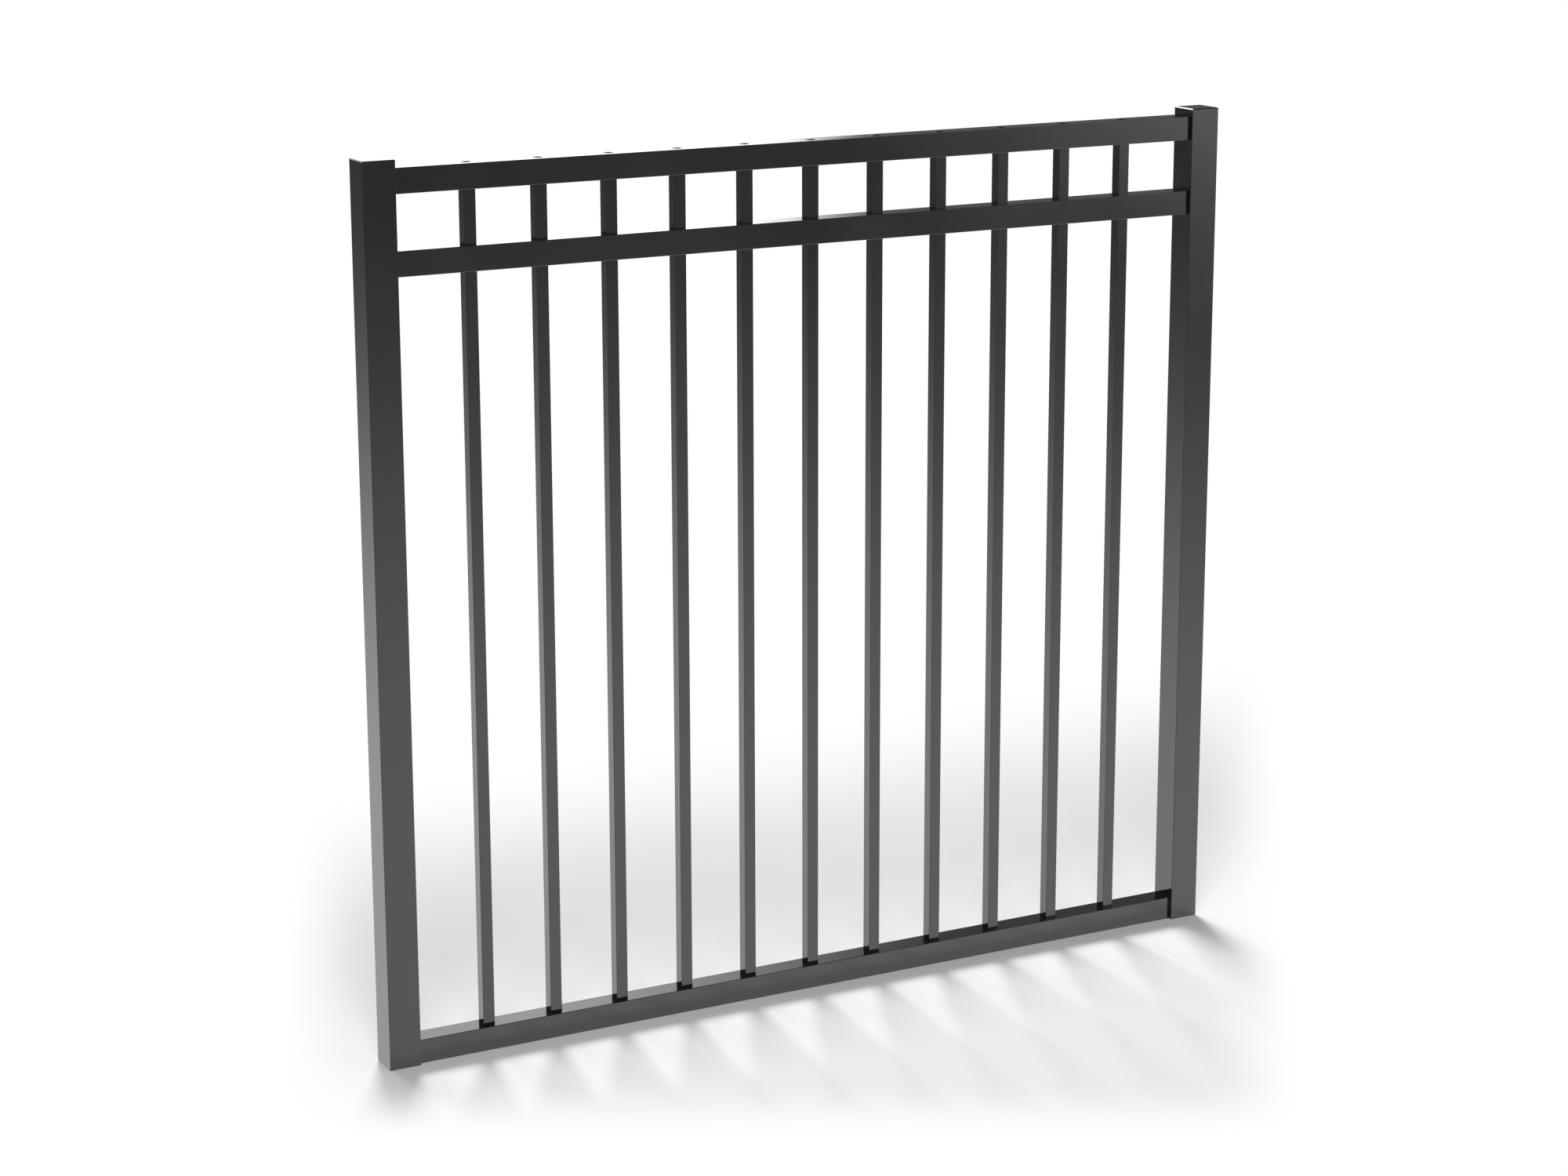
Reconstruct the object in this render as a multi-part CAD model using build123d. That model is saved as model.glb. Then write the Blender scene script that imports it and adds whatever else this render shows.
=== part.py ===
from build123d import *
from math import atan, degrees
import os

os.makedirs("parts", exist_ok=True)

# Overall sizes of the gate, in millimetres
gate_width = 1485.9
gate_height = 1384.3

# Uprights: square tube, open at the foot
upright_size = 50.8
upright_wall = 2.4
upright_corner = 0.8

# Caps: a flat plate on the end of the tube and a hollow skirt inside it
cap_thickness = 4.0
cap_bevel = 1.6
cap_skirt_depth = 18.0
cap_skirt_wall = 2.0
cap_clearance = 0.2

# Rails: channels that are open below
rail_height = 38.1
rail_depth = 38.1
rail_web = 2.0
rail_side_wall = 2.4
rail_corner = 0.8
top_rail_drop = 12.7
middle_rail_drop = 133.35

# Pickets: slim square tube, threaded through the webs of the lower two rails
picket_size = 19.05
picket_wall = 1.5
picket_corner = 0.6
picket_pitch = 114.3
picket_foot_lift = 6.0
picket_hole_clearance = 0.3

# Plugs: low domed buttons pressed into the top rail over the pickets
plug_stem_gap = 2.05
plug_stem_length = 8.0
plug_hole_clearance = 0.2
plug_lip = 1.775
plug_rim = 0.15
plug_shoulder_rise = 0.5
plug_shoulder_run = 2.9
plug_crown_rise = 0.3
plug_crown_run = 2.9
plug_sides = 48

# Places that follow from the sizes above
clear_width = gate_width - 2 * upright_size
gate_middle = gate_width / 2
tube_length = gate_height - cap_thickness
top_rail_top = gate_height - top_rail_drop
middle_rail_top = gate_height - middle_rail_drop
bottom_rail_top = rail_height
picket_top = top_rail_top - rail_web
picket_length = picket_top - picket_foot_lift
picket_hollow = picket_size - 2 * picket_wall
picket_hole = picket_size + 2 * picket_hole_clearance
picket_count = int((clear_width - picket_size) / picket_pitch)
first_picket = gate_middle - picket_pitch * (picket_count - 1) / 2
picket_places = [first_picket + picket_pitch * i for i in range(picket_count)]
plug_stem = picket_hollow - 2 * plug_stem_gap
plug_hole = plug_stem + 2 * plug_hole_clearance
plug_head = plug_hole + 2 * plug_lip


def square_tube(size, wall, corner, length):
    """A square tube that stands on the ground plane, centred on the upright axis."""
    hollow = size - 2 * wall
    section = RectangleRounded(size, size, corner) - Rectangle(hollow, hollow)
    return extrude(section, length)


def upright_cap():
    """A flush cap: its plate is as wide as the tube, and its skirt slides into the hollow."""
    plate = extrude(Rectangle(upright_size, upright_size), cap_thickness)
    plate = chamfer(plate.edges().group_by(Axis.Z)[-1], cap_bevel)
    skirt_size = upright_size - 2 * upright_wall - 2 * cap_clearance
    skirt_hollow = skirt_size - 2 * cap_skirt_wall
    skirt = Rectangle(skirt_size, skirt_size) - Rectangle(skirt_hollow, skirt_hollow)
    return plate + extrude(skirt, -cap_skirt_depth)


def rail(top):
    """A channel between the uprights, with its web on top and its two sides hanging down."""
    inner_depth = rail_depth - 2 * rail_side_wall
    section = RectangleRounded(rail_depth, rail_height, rail_corner)
    section -= Pos(0, -rail_web) * Rectangle(inner_depth, rail_height)
    channel = extrude(Plane.YZ * section, clear_width)
    return Pos(upright_size, 0, top - rail_height / 2) * channel


def web_holes(section, top):
    """Cutters of one section through the web of a rail, one at each picket."""
    cutter = extrude(section, -2 * rail_web)
    return [Pos(x, 0, top + rail_web / 2) * cutter for x in picket_places]


def hole_plug():
    """A button with a thin rim, a low domed head in two slopes and a round stem, seated at the origin."""
    button = extrude(RegularPolygon(plug_head / 2, plug_sides), plug_rim)
    for rise, run in ((plug_shoulder_rise, plug_shoulder_run), (plug_crown_rise, plug_crown_run)):
        top = button.faces().sort_by(Axis.Z)[-1]
        button += extrude(top, rise, taper=degrees(atan(run / rise)))
    return button + extrude(Circle(plug_stem / 2), -plug_stem_length)


# Each node of the gate, by name
nodes = {}

for side, place in (("left", upright_size / 2), ("right", gate_width - upright_size / 2)):
    nodes[f"{side}_upright"] = Pos(place, 0, 0) * square_tube(
        upright_size, upright_wall, upright_corner, tube_length
    )
    nodes[f"{side}_cap"] = Pos(place, 0, tube_length) * upright_cap()

picket_cutter = Rectangle(picket_hole, picket_hole)
nodes["top_rail"] = rail(top_rail_top) - web_holes(Circle(plug_hole / 2), top_rail_top)
nodes["middle_rail"] = rail(middle_rail_top) - web_holes(picket_cutter, middle_rail_top)
nodes["bottom_rail"] = rail(bottom_rail_top) - web_holes(picket_cutter, bottom_rail_top)

for number, x in enumerate(picket_places, start=1):
    nodes[f"picket_{number:02d}"] = Pos(x, 0, picket_foot_lift) * square_tube(
        picket_size, picket_wall, picket_corner, picket_length
    )
    nodes[f"hole_plug_{number:02d}"] = Pos(x, 0, top_rail_top) * hole_plug()

for name, solid in nodes.items():
    export_step(solid, f"parts/{name}.step")
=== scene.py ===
import math

import bmesh
import bpy
from mathutils import Matrix, Vector


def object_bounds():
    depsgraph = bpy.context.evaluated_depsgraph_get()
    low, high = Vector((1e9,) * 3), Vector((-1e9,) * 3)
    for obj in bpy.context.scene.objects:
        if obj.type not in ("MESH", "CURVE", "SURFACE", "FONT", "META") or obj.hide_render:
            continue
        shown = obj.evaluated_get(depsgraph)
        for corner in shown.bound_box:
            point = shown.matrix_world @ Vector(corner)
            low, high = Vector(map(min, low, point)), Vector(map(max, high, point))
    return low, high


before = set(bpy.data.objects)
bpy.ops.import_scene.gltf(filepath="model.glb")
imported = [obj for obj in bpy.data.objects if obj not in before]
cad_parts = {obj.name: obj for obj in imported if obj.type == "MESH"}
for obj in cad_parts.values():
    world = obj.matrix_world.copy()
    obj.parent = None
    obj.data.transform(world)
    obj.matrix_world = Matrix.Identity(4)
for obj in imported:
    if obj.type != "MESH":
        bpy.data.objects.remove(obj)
cad_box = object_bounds()

# Uprights
# The two end posts are square aluminium tube, cut to length and left open at the foot.
# They wear a smooth black powder coat, baked on to a high gloss over the faint lines of the die.
X_AXIS, Z_AXIS = 0, 2
NOISE_MIDDLE = (0.3, 0.7)
COAT_DARK = (0.0040, 0.0040, 0.0043, 1.0)
COAT_LIGHT = (0.0075, 0.0075, 0.0080, 1.0)
COAT_IOR = 1.9
COAT_ROUGHNESS = (0.10, 0.14)
CLOUD_PER_METRE = 5.0
CLOUD_DETAIL = 3.0
PEEL_PER_METRE = 420.0
PEEL_DETAIL = 2.0
PEEL_DEPTH = 0.000012
DIE_LINES_PER_METRE = 700.0
DIE_LINE_DETAIL = 1.0
DIE_LINE_STRETCH = 0.004
DIE_LINE_DEPTH = 0.000006


def new_material(name):
    """An empty node material: its tree, its shader and Object coordinates."""
    material = bpy.data.materials.new(name)
    material.use_nodes = True
    tree = material.node_tree
    shader = tree.nodes["Principled BSDF"]
    place = tree.nodes.new("ShaderNodeTexCoord").outputs["Object"]
    return material, tree, shader, place


def noise(tree, place, per_metre, detail, stretch=(1.0, 1.0, 1.0)):
    """Noise of so many cells a metre, drawn out where a stretch is below one."""
    mapping = tree.nodes.new("ShaderNodeMapping")
    mapping.inputs["Scale"].default_value = stretch
    tree.links.new(place, mapping.inputs["Vector"])
    texture = tree.nodes.new("ShaderNodeTexNoise")
    texture.inputs["Scale"].default_value = per_metre
    texture.inputs["Detail"].default_value = detail
    tree.links.new(mapping.outputs["Vector"], texture.inputs["Vector"])
    return texture.outputs["Fac"]


def between(tree, value, low, high):
    """Spreads the middle of a noise over a range of numbers."""
    spread = tree.nodes.new("ShaderNodeMapRange")
    spread.inputs["From Min"].default_value, spread.inputs["From Max"].default_value = NOISE_MIDDLE
    spread.inputs["To Min"].default_value = low
    spread.inputs["To Max"].default_value = high
    tree.links.new(value, spread.inputs["Value"])
    return spread.outputs["Result"]


def shade(tree, value, dark, light):
    """Turns a noise into a colour between two shades."""
    ramp = tree.nodes.new("ShaderNodeValToRGB")
    for element, position, colour in zip(ramp.color_ramp.elements, NOISE_MIDDLE, (dark, light)):
        element.position = position
        element.color = colour
    tree.links.new(value, ramp.inputs["Fac"])
    return ramp.outputs["Color"]


def relief(tree, height, depth, under=None):
    """Raises a surface by a height map, on top of an earlier relief where there is one."""
    bump = tree.nodes.new("ShaderNodeBump")
    bump.inputs["Strength"].default_value = 1.0
    bump.inputs["Distance"].default_value = depth
    tree.links.new(height, bump.inputs["Height"])
    if under is not None:
        tree.links.new(under, bump.inputs["Normal"])
    return bump.outputs["Normal"]


def coated_aluminium(name, length_axis):
    """Gloss black powder coat: faint clouds, orange peel, and die lines along the length."""
    material, tree, shader, place = new_material(name)
    stretch = [1.0, 1.0, 1.0]
    stretch[length_axis] = DIE_LINE_STRETCH
    clouds = noise(tree, place, CLOUD_PER_METRE, CLOUD_DETAIL)
    peel = noise(tree, place, PEEL_PER_METRE, PEEL_DETAIL)
    lines = noise(tree, place, DIE_LINES_PER_METRE, DIE_LINE_DETAIL, stretch)
    tree.links.new(shade(tree, clouds, COAT_DARK, COAT_LIGHT), shader.inputs["Base Color"])
    tree.links.new(between(tree, clouds, *COAT_ROUGHNESS), shader.inputs["Roughness"])
    lined = relief(tree, lines, DIE_LINE_DEPTH)
    tree.links.new(relief(tree, peel, PEEL_DEPTH, lined), shader.inputs["Normal"])
    shader.inputs["IOR"].default_value = COAT_IOR
    return material


def wear(node, material):
    """Gives a node of the frame its finish."""
    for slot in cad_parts[node].material_slots:
        slot.material = material


upright_coat = coated_aluminium("upright_coat", Z_AXIS)
for side in ("left", "right"):
    wear(f"{side}_upright", upright_coat)

# Caps
# A flat cap with a bevelled rim closes the top of each upright.
# It is moulded in black plastic, polished nearly as bright as the coat, and its skirt grips the tube.
PLASTIC_DARK = (0.0045, 0.0045, 0.0048, 1.0)
PLASTIC_LIGHT = (0.0085, 0.0085, 0.0090, 1.0)
CAP_IOR = 1.9
CAP_SPECULAR = 0.5
CAP_ROUGHNESS = (0.11, 0.15)
FLOW_PER_METRE = 60.0
FLOW_DETAIL = 2.0
GRAIN_PER_METRE = 1500.0
GRAIN_DETAIL = 2.0
GRAIN_DEPTH = 0.000003


def moulded_plastic(name, ior, specular, roughness):
    """Black plastic with soft flow marks and a very fine grain."""
    material, tree, shader, place = new_material(name)
    flow = noise(tree, place, FLOW_PER_METRE, FLOW_DETAIL)
    grain = noise(tree, place, GRAIN_PER_METRE, GRAIN_DETAIL)
    tree.links.new(shade(tree, flow, PLASTIC_DARK, PLASTIC_LIGHT), shader.inputs["Base Color"])
    tree.links.new(between(tree, flow, *roughness), shader.inputs["Roughness"])
    tree.links.new(relief(tree, grain, GRAIN_DEPTH), shader.inputs["Normal"])
    shader.inputs["IOR"].default_value = ior
    shader.inputs["Specular IOR Level"].default_value = specular
    return material


cap_plastic = moulded_plastic("cap_plastic", CAP_IOR, CAP_SPECULAR, CAP_ROUGHNESS)
for side in ("left", "right"):
    wear(f"{side}_cap", cap_plastic)

# Rails
# Three aluminium channels with their web on top butt against the inner faces of the uprights.
# The coat is the same, with the die lines running across the gate.
rail_coat = coated_aluminium("rail_coat", X_AXIS)
for rail in ("top_rail", "middle_rail", "bottom_rail"):
    wear(rail, rail_coat)

# Pickets
# Slim square tubes pass through punched holes in the lower rails and stop under the top rail.
# They share the uprights' coat, with the die lines along their length.
picket_coat = coated_aluminium("picket_coat", Z_AXIS)
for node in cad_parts:
    if node.startswith("picket_"):
        wear(node, picket_coat)

# Hole plugs
# A low button with a gently domed head closes the hole in the top rail over each picket.
# It is moulded in a much duller black plastic than the caps and pressed in by hand.
PLUG_IOR = 1.46
PLUG_SPECULAR = 0.03
PLUG_ROUGHNESS = (0.16, 0.22)

plug_plastic = moulded_plastic("plug_plastic", PLUG_IOR, PLUG_SPECULAR, PLUG_ROUGHNESS)
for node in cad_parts:
    if node.startswith("hole_plug_"):
        wear(node, plug_plastic)

# Floor
# A plain pale studio floor under the gate, level with the feet of the uprights.
# Behind the gate its colour is darker, a painted shadow of the gate, and it whitens away from the gate so
# that it has no edge.
# The gloss mirrors a strip of it close in front, faintly, and elsewhere the room.
FLOOR_RADIUS = 3.0
FLOOR_SEGMENTS = 96
FLOOR_ROUGHNESS = 0.9
FLOOR_SPECULAR = 0.0
FLOOR_PALE = (0.86, 0.86, 0.86, 1.0)
FLOOR_PAINTED_SHADOW = (0.655, 0.655, 0.655, 1.0)
FLOOR_PAINTED_SHADOW_FROM = (-0.15, 0.50)
FLOOR_OFFSET = -0.04
FLOOR_TURN = math.radians(28.4)
FLOOR_SIDE = (0.83, 0.66)
FLOOR_SIDE_WIDENING = -0.12
FLOOR_FRONT = (-0.62, -0.40)
FLOOR_BACK = (1.38, 0.58)
FLOOR_MIRRORED = 0.4
FLOOR_MIRRORED_FROM = (-0.16, -0.05)
FLOOR_MIRRORED_TO = (-0.012, -0.018)
low, high = cad_box
floor_middle = Vector(((low.x + high.x) / 2 + FLOOR_OFFSET, 0.0, low.z))

disc = bmesh.new()
bmesh.ops.create_circle(disc, cap_ends=True, radius=FLOOR_RADIUS, segments=FLOOR_SEGMENTS)
bmesh.ops.translate(disc, verts=disc.verts, vec=floor_middle)
floor_mesh = bpy.data.meshes.new("floor")
disc.to_mesh(floor_mesh)
disc.free()
floor = bpy.data.objects.new("floor", floor_mesh)
bpy.context.scene.collection.objects.link(floor)


def figure(tree, operation, *terms):
    """One sum in a node tree, on sockets and plain numbers."""
    sum_node = tree.nodes.new("ShaderNodeMath")
    sum_node.operation = operation
    for socket, term in zip(sum_node.inputs, terms):
        if isinstance(term, float):
            socket.default_value = term
        else:
            tree.links.new(term, socket)
    return sum_node.outputs["Value"]


def rising(tree, value, none_at, full_at):
    """From 0 to 1 between two values, in either order, with soft ends."""
    ramp = tree.nodes.new("ShaderNodeMapRange")
    ramp.interpolation_type = "SMOOTHSTEP"
    tree.links.new(value, ramp.inputs["Value"])
    for name, term in (("From Min", none_at), ("From Max", full_at)):
        if isinstance(term, float):
            ramp.inputs[name].default_value = term
        else:
            tree.links.new(term, ramp.inputs[name])
    return ramp.outputs["Result"]


floor_finish, floor_tree, floor_shader, floor_place = new_material("floor_finish")
turned = floor_tree.nodes.new("ShaderNodeMapping")
turned.vector_type = "TEXTURE"
turned.inputs["Location"].default_value = floor_middle
turned.inputs["Rotation"].default_value = (0.0, 0.0, -FLOOR_TURN)
floor_tree.links.new(floor_place, turned.inputs["Vector"])
from_middle = floor_tree.nodes.new("ShaderNodeSeparateXYZ")
floor_tree.links.new(turned.outputs["Vector"], from_middle.inputs["Vector"])
from_gate = floor_tree.nodes.new("ShaderNodeSeparateXYZ")
floor_tree.links.new(floor_place, from_gate.inputs["Vector"])

# Painted shadow: the floor's colour goes from pale to darker behind the gate, standing in for the shadow
# the gate casts there.
floor_with_painted_shadow = floor_tree.nodes.new("ShaderNodeMix")
floor_with_painted_shadow.data_type = "RGBA"
floor_with_painted_shadow.inputs["A"].default_value = FLOOR_PALE
floor_with_painted_shadow.inputs["B"].default_value = FLOOR_PAINTED_SHADOW
floor_tree.links.new(rising(floor_tree, from_gate.outputs["Y"], *FLOOR_PAINTED_SHADOW_FROM), floor_with_painted_shadow.inputs["Factor"])
floor_tree.links.new(floor_with_painted_shadow.outputs["Result"], floor_shader.inputs["Base Color"])
floor_shader.inputs["Roughness"].default_value = FLOOR_ROUGHNESS
floor_shader.inputs["Specular IOR Level"].default_value = FLOOR_SPECULAR

sideways = figure(floor_tree, "ABSOLUTE", from_middle.outputs["X"])
sideways = figure(floor_tree, "MULTIPLY_ADD", from_middle.outputs["Y"], FLOOR_SIDE_WIDENING, sideways)
near_front = rising(floor_tree, from_middle.outputs["Y"], *FLOOR_FRONT)
near_back = rising(floor_tree, from_gate.outputs["Y"], *FLOOR_BACK)
near_line = figure(floor_tree, "MULTIPLY", near_front, near_back)
near = figure(floor_tree, "MULTIPLY", rising(floor_tree, sideways, *FLOOR_SIDE), near_line)
white = floor_tree.nodes.new("ShaderNodeEmission")
whitening = floor_tree.nodes.new("ShaderNodeMixShader")
floor_tree.links.new(near, whitening.inputs["Fac"])
floor_tree.links.new(white.outputs["Emission"], whitening.inputs[1])
floor_tree.links.new(floor_shader.outputs["BSDF"], whitening.inputs[2])

strip_front = rising(floor_tree, from_gate.outputs["Y"], *FLOOR_MIRRORED_FROM)
strip_back = rising(floor_tree, from_gate.outputs["Y"], *FLOOR_MIRRORED_TO)
in_strip = figure(floor_tree, "MULTIPLY", strip_front, strip_back)
hidden = figure(floor_tree, "MULTIPLY_ADD", in_strip, -FLOOR_MIRRORED, 1.0)
floor_sight = floor_tree.nodes.new("ShaderNodeLightPath")
unmirrored = figure(floor_tree, "MULTIPLY", floor_sight.outputs["Is Glossy Ray"], hidden)
see_through = floor_tree.nodes.new("ShaderNodeBsdfTransparent")
mirroring = floor_tree.nodes.new("ShaderNodeMixShader")
floor_tree.links.new(unmirrored, mirroring.inputs["Fac"])
floor_tree.links.new(whitening.outputs["Shader"], mirroring.inputs[1])
floor_tree.links.new(see_through.outputs["BSDF"], mirroring.inputs[2])
floor_tree.links.new(mirroring.outputs["Shader"], floor_tree.nodes["Material Output"].inputs["Surface"])
floor_mesh.materials.append(floor_finish)

# Studio lamps
# A tall soft box behind the gate throws the pickets' shadows forward in fans.
# Another above and in front lifts them again, and lays a faint shadow behind the gate.
BACK_LAMP_PLACE = (2.12, 4.81, 3.90)
BACK_LAMP_AIM = (0.74, 0.0, 0.0)
BACK_LAMP_SIZE = (1.7, 1.8)
BACK_LAMP_WATTS = 350.0
FRONT_LAMP_PLACE = (-1.2, -3.0, 4.6)
FRONT_LAMP_AIM = (0.74, 0.2, 0.0)
FRONT_LAMP_SIZE = (1.8, 1.8)
FRONT_LAMP_WATTS = 117.0


def soft_box(name, place, aim, size, watts):
    """A rectangular soft box at a place, turned to face a point."""
    lamp = bpy.data.lights.new(name, "AREA")
    lamp.shape = "RECTANGLE"
    lamp.size, lamp.size_y = size
    lamp.energy = watts
    box = bpy.data.objects.new(name, lamp)
    box.location = place
    box.rotation_euler = (Vector(aim) - Vector(place)).to_track_quat("-Z", "Y").to_euler()
    box.visible_camera = False
    box.visible_glossy = False
    bpy.context.scene.collection.objects.link(box)


soft_box("back_lamp", BACK_LAMP_PLACE, BACK_LAMP_AIM, BACK_LAMP_SIZE, BACK_LAMP_WATTS)
soft_box("front_lamp", FRONT_LAMP_PLACE, FRONT_LAMP_AIM, FRONT_LAMP_SIZE, FRONT_LAMP_WATTS)

# Studio room
# A dim grey room that the gloss coat mirrors: a lit floor, a tall light panel with a bright strip
# behind the gate, and a low panel to the front right. The camera itself sees a white backdrop.
WALL_GREY = 0.16
WALL_GREY_TO_BACK = -0.02
LIT_FLOOR = 1.13
LIT_FLOOR_TO_BACK = 0.45
LIT_FLOOR_TO_RIGHT = 0.55
LIT_FLOOR_ANGLES = (-7.0, -17.5)
BACK_PANEL_LIGHT = 1.35
BACK_PANEL_LOW_LIGHT = 1.0
BACK_PANEL_LOW = (20.0, 8.0)
BACK_PANEL_LEFT = (-16.0, -12.0)
BACK_PANEL_RIGHT = 29.2
BACK_PANEL_FEATHER = (0.12, -0.26)
BACK_PANEL_SHARP_TO = 2.0
BACK_PANEL_FOOT = (1.0, 4.0)
BACK_PANEL_HEAD = (62.0, 45.0)
STRIP_LIGHT = 7.0
STRIP_LEFT = (-16.0, -13.0)
STRIP_RIGHT = (4.0, 1.0)
STRIP_FOOT = (27.0, 29.0)
STRIP_HEAD = (43.0, 40.0)
SIDE_PANEL_LIGHT = 1.3
SIDE_PANEL_LEFT = (151.0, 142.0)
SIDE_PANEL_RIGHT = (110.0, 118.0)
SIDE_PANEL_FOOT = (-8.8, -5.0)
SIDE_PANEL_HEAD = (34.0, 26.0)
BACKDROP_WHITE = 1.0

room = bpy.data.worlds.new("studio")
room.use_nodes = True
bpy.context.scene.world = room
room_tree = room.node_tree

outlook = room_tree.nodes.new("ShaderNodeSeparateXYZ")
directions = room_tree.nodes.new("ShaderNodeTexCoord").outputs["Generated"]
room_tree.links.new(directions, outlook.inputs["Vector"])
to_right, to_back, to_top = outlook.outputs
turn = figure(room_tree, "DEGREES", figure(room_tree, "ARCTAN2", to_right, to_back))
rise = figure(room_tree, "DEGREES", figure(room_tree, "ARCSINE", to_top))


def panel(left, right, foot, head):
    """A light panel on the wall, by the angles at which each side begins and is full."""
    across = figure(room_tree, "MULTIPLY", rising(room_tree, turn, *left), rising(room_tree, turn, *right))
    upward = figure(room_tree, "MULTIPLY", rising(room_tree, rise, *foot), rising(room_tree, rise, *head))
    return figure(room_tree, "MULTIPLY", across, upward)


wall = figure(room_tree, "MULTIPLY_ADD", to_back, WALL_GREY_TO_BACK, WALL_GREY)
lit_floor = figure(room_tree, "MULTIPLY_ADD", to_back, LIT_FLOOR_TO_BACK, LIT_FLOOR)
lit_floor = figure(room_tree, "MULTIPLY_ADD", to_right, LIT_FLOOR_TO_RIGHT, lit_floor)
on_floor = rising(room_tree, rise, *LIT_FLOOR_ANGLES)
around = figure(room_tree, "MULTIPLY_ADD", on_floor, figure(room_tree, "SUBTRACT", lit_floor, wall), wall)

softening = figure(room_tree, "MAXIMUM", rise, BACK_PANEL_SHARP_TO)
back_edge = [
    figure(room_tree, "MULTIPLY_ADD", softening, feather, BACK_PANEL_RIGHT)
    for feather in BACK_PANEL_FEATHER
]
back_panel = panel(BACK_PANEL_LEFT, back_edge, BACK_PANEL_FOOT, BACK_PANEL_HEAD)
low_down = rising(room_tree, rise, *BACK_PANEL_LOW)
back_light = figure(room_tree, "MULTIPLY_ADD", low_down, BACK_PANEL_LOW_LIGHT, BACK_PANEL_LIGHT)
strip = panel(STRIP_LEFT, STRIP_RIGHT, STRIP_FOOT, STRIP_HEAD)
side_panel = panel(SIDE_PANEL_LEFT, SIDE_PANEL_RIGHT, SIDE_PANEL_FOOT, SIDE_PANEL_HEAD)
with_back = figure(room_tree, "MULTIPLY_ADD", back_panel, back_light, around)
with_strip = figure(room_tree, "MULTIPLY_ADD", strip, STRIP_LIGHT, with_back)
with_side = figure(room_tree, "MULTIPLY_ADD", side_panel, SIDE_PANEL_LIGHT, with_strip)

mirrored = room_tree.nodes["Background"]
room_tree.links.new(with_side, mirrored.inputs["Color"])
backdrop = room_tree.nodes.new("ShaderNodeBackground")
backdrop.inputs["Color"].default_value = (BACKDROP_WHITE, BACKDROP_WHITE, BACKDROP_WHITE, 1.0)
sight = room_tree.nodes.new("ShaderNodeLightPath")
either = room_tree.nodes.new("ShaderNodeMixShader")
room_tree.links.new(sight.outputs["Is Camera Ray"], either.inputs["Fac"])
room_tree.links.new(mirrored.outputs["Background"], either.inputs[1])
room_tree.links.new(backdrop.outputs["Background"], either.inputs[2])
room_tree.links.new(either.outputs["Shader"], room_tree.nodes["World Output"].inputs["Surface"])

# Camera
# It stands to the left of the gate, a little above its top, and looks down at it.
# The picture is shown as it is lit, with no film curve.
CAMERA_PLACE = (-1.7976, -4.6196, 1.9782)
CAMERA_TURN = math.radians(28.3587)
CAMERA_TILT = math.radians(14.0031)
CAMERA_ROLL = math.radians(-0.1039)
SENSOR_WIDTH = 36.0
FOCAL_LENGTH = 78.863

camera_data = bpy.data.cameras.new("camera")
camera_data.sensor_fit = "HORIZONTAL"
camera_data.sensor_width = SENSOR_WIDTH
camera_data.lens = FOCAL_LENGTH
camera = bpy.data.objects.new("camera", camera_data)
camera.matrix_world = (
    Matrix.Translation(CAMERA_PLACE)
    @ Matrix.Rotation(-CAMERA_TURN, 4, "Z")
    @ Matrix.Rotation(math.pi / 2 - CAMERA_TILT, 4, "X")
    @ Matrix.Rotation(CAMERA_ROLL, 4, "Z")
)
bpy.context.scene.collection.objects.link(camera)
bpy.context.scene.camera = camera
bpy.context.scene.view_settings.view_transform = "Standard"
